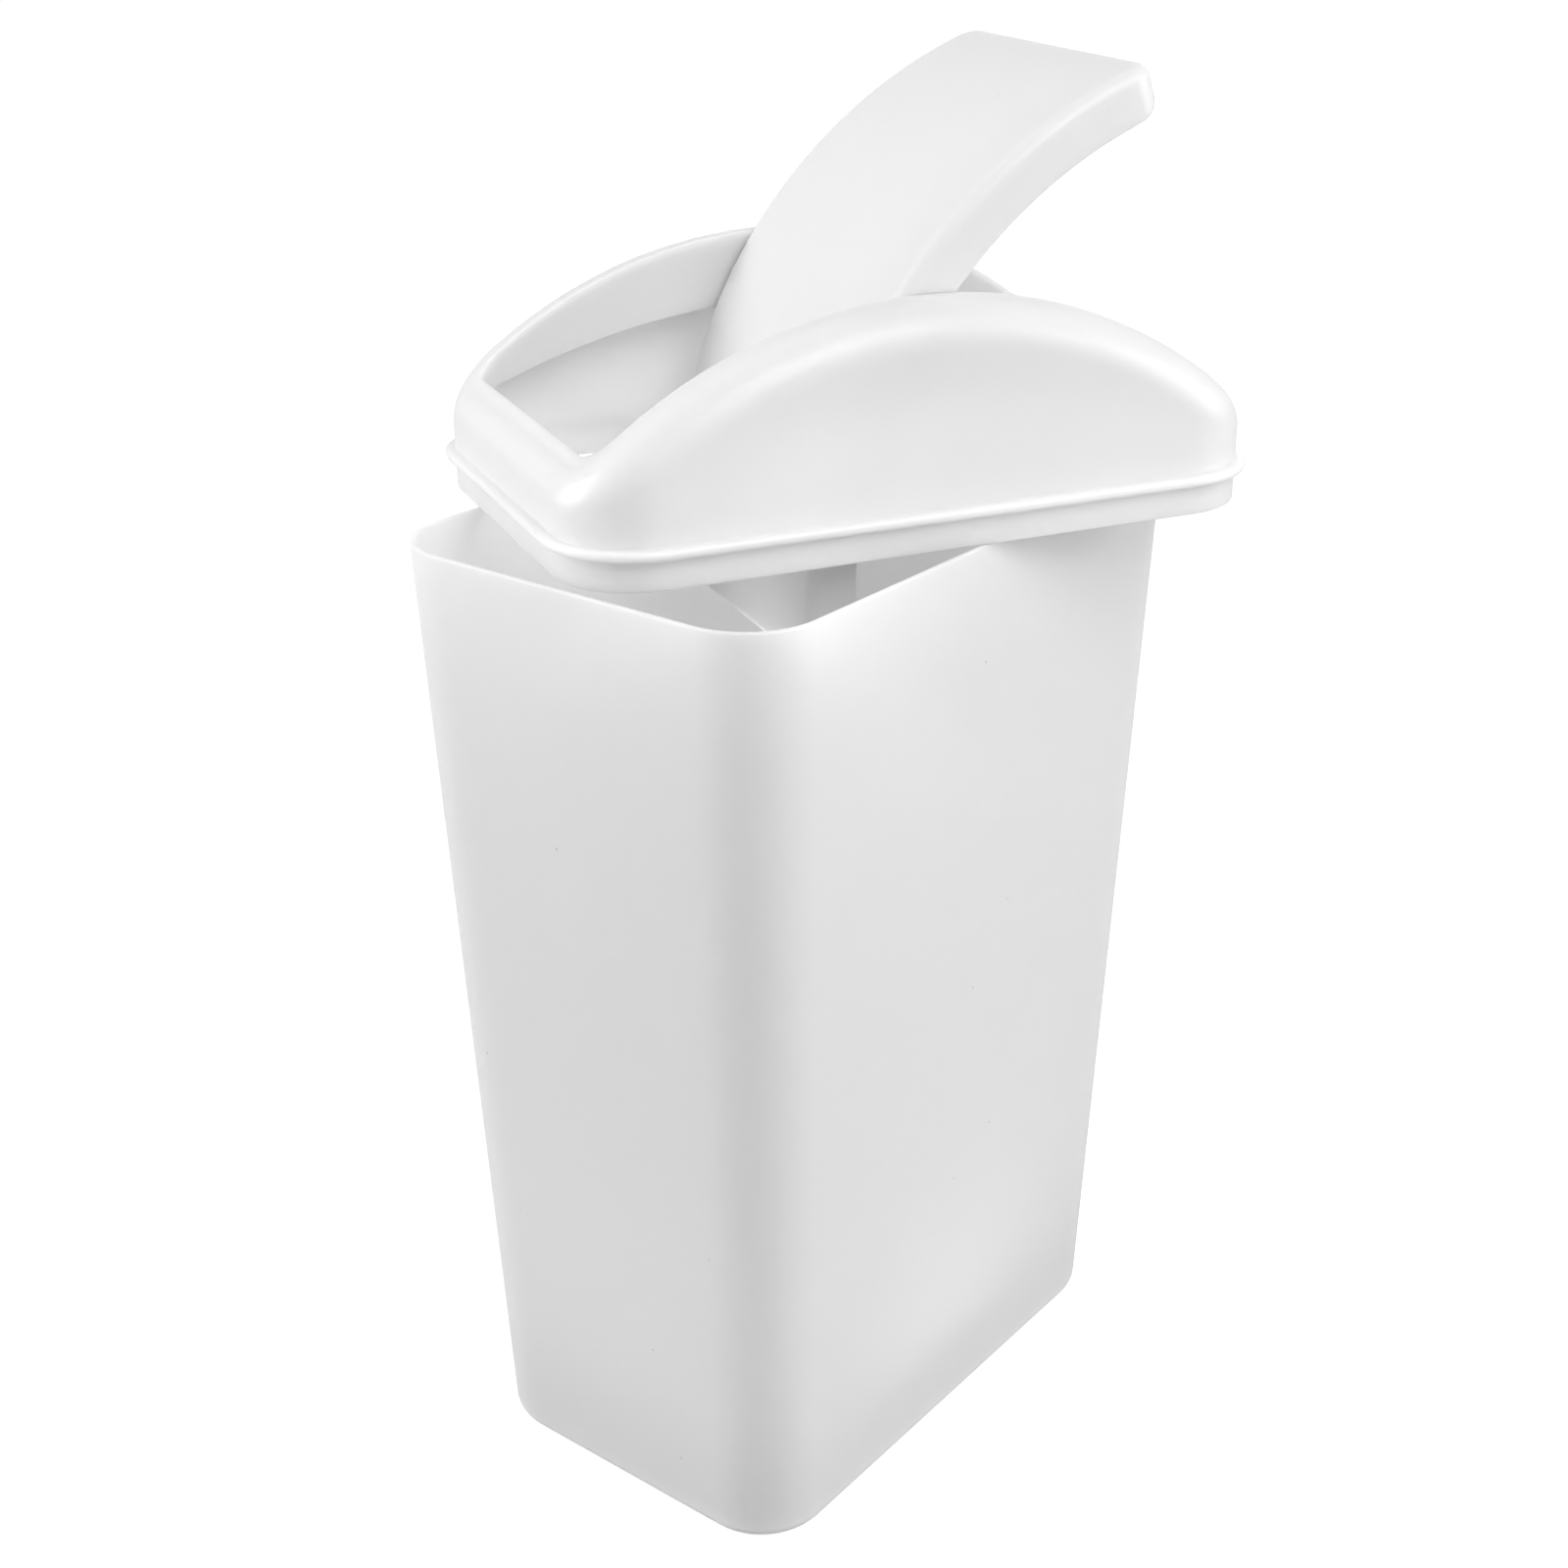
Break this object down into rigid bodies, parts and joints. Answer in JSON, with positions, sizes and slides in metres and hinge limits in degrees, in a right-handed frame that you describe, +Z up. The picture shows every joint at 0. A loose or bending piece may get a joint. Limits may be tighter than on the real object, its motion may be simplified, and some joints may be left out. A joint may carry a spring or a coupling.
{
  "type": "countertop trash can with swing lid",
  "caption": "Tapered countertop trash can whose domed plug-in lid lies askew across the rim, with its curved swing flap tipped open.",
  "frame": {"origin": "centre of the face that the bin stands on", "axes": "+Z up, Y along the bin's long side, X along its short side; the flap's raised end leans towards +Y"},
  "size_m": [0.1763, 0.2035, 0.365],
  "materials": {
    "bin_plastic": "white polypropylene, fine satin texture outside",
    "lid_plastic": "white polypropylene, satin",
    "flap_plastic": "white polypropylene, satin"
  },
  "bodies": {
    "bin": {"bin_body": "bin_plastic"},
    "lid": {"lid_dome": "lid_plastic"},
    "flap": {"swing_flap": "flap_plastic"}
  },
  "joints": [
    {"name": "lid_lift", "type": "slide", "parent": "bin", "child": "lid", "axis": [0, 0, 1], "range_m": [0, 0.15]},
    {"name": "flap_swing", "type": "hinge", "parent": "lid", "child": "flap", "pos_m": [0.00307, 0.01097, 0.3065], "axis": [0.8801, -0.4747, 0], "range_deg": [-13, 37]}
  ]
}
